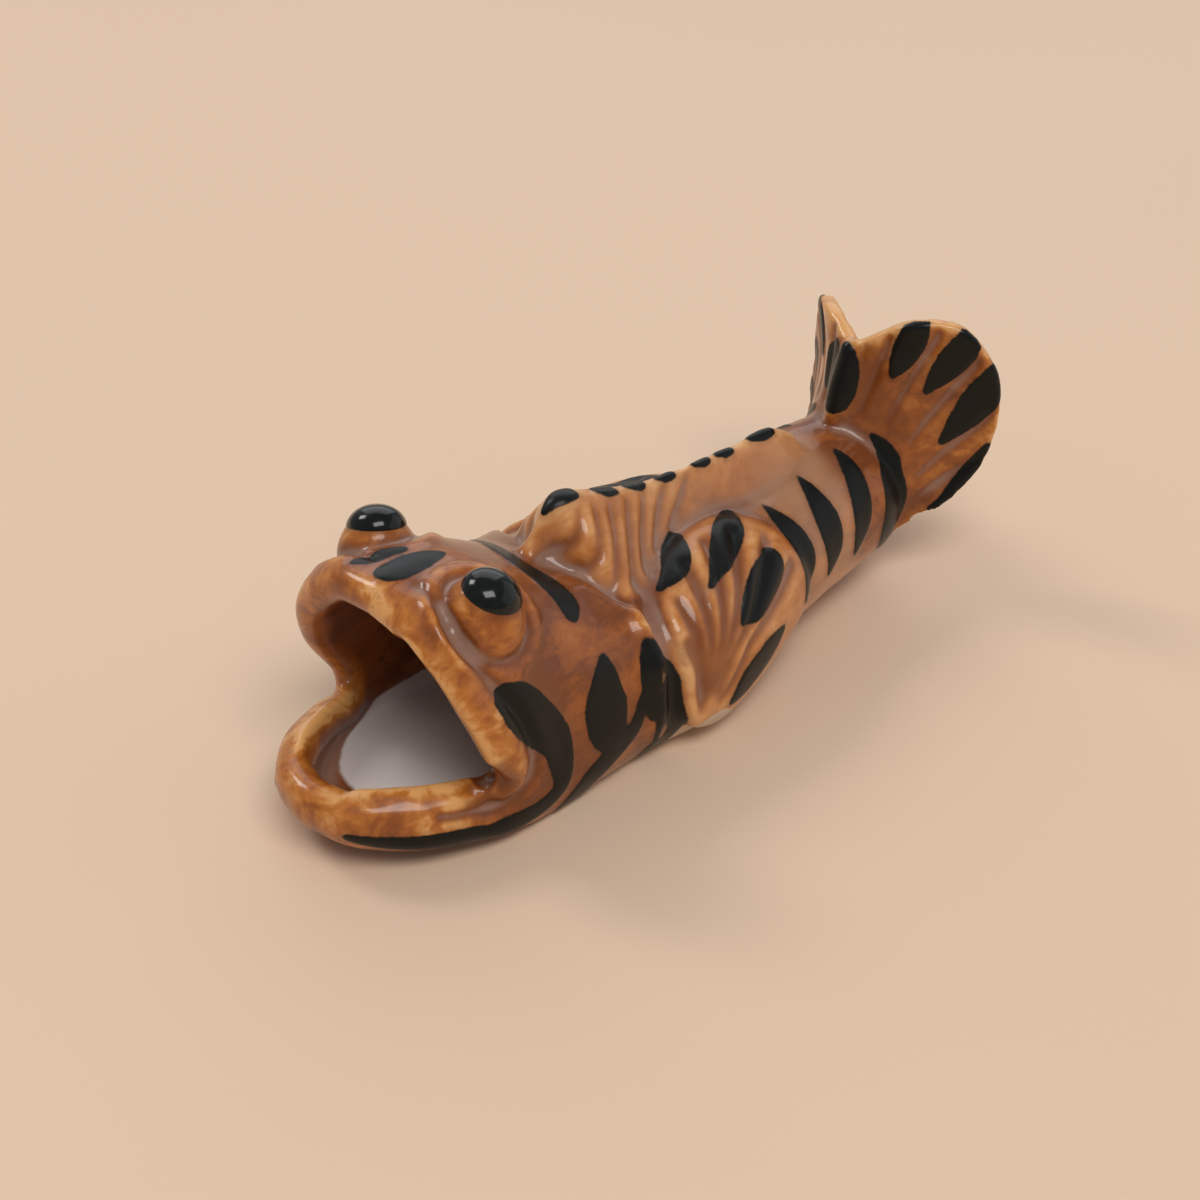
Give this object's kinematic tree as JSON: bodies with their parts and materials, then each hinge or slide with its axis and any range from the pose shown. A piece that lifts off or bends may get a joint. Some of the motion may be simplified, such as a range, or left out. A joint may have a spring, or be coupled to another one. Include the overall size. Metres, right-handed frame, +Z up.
{
  "type": "chopstick rest",
  "caption": "Small glazed ceramic fish with an open mouth, hollow behind its rolled lip, that lies on the table and holds the tips of chopsticks.",
  "frame": {"origin": "middle of the foot's face, on the table", "axes": "+X along the fish towards its tail, the head at -X; +Z up; the fish's left side at -Y"},
  "size_m": [0.0853, 0.0302, 0.0308],
  "materials": {
    "amber_glaze": "gloss",
    "honey_glaze": "gloss",
    "black_glaze": "gloss",
    "bare_clay": "matte"
  },
  "bodies": {
    "root": {"body_shell": "amber_glaze", "foot": "bare_clay", "left_eyeball": "honey_glaze", "right_eyeball": "honey_glaze", "left_pupil": "black_glaze", "right_pupil": "black_glaze", "left_eye_rim": "amber_glaze", "right_eye_rim": "amber_glaze", "dorsal_fin": "amber_glaze", "left_pectoral_fin": "honey_glaze", "right_pectoral_fin": "honey_glaze", "left_gill_cover": "amber_glaze", "right_gill_cover": "amber_glaze", "left_tail_lobe": "honey_glaze", "right_tail_lobe": "honey_glaze"}
  },
  "joints": []
}
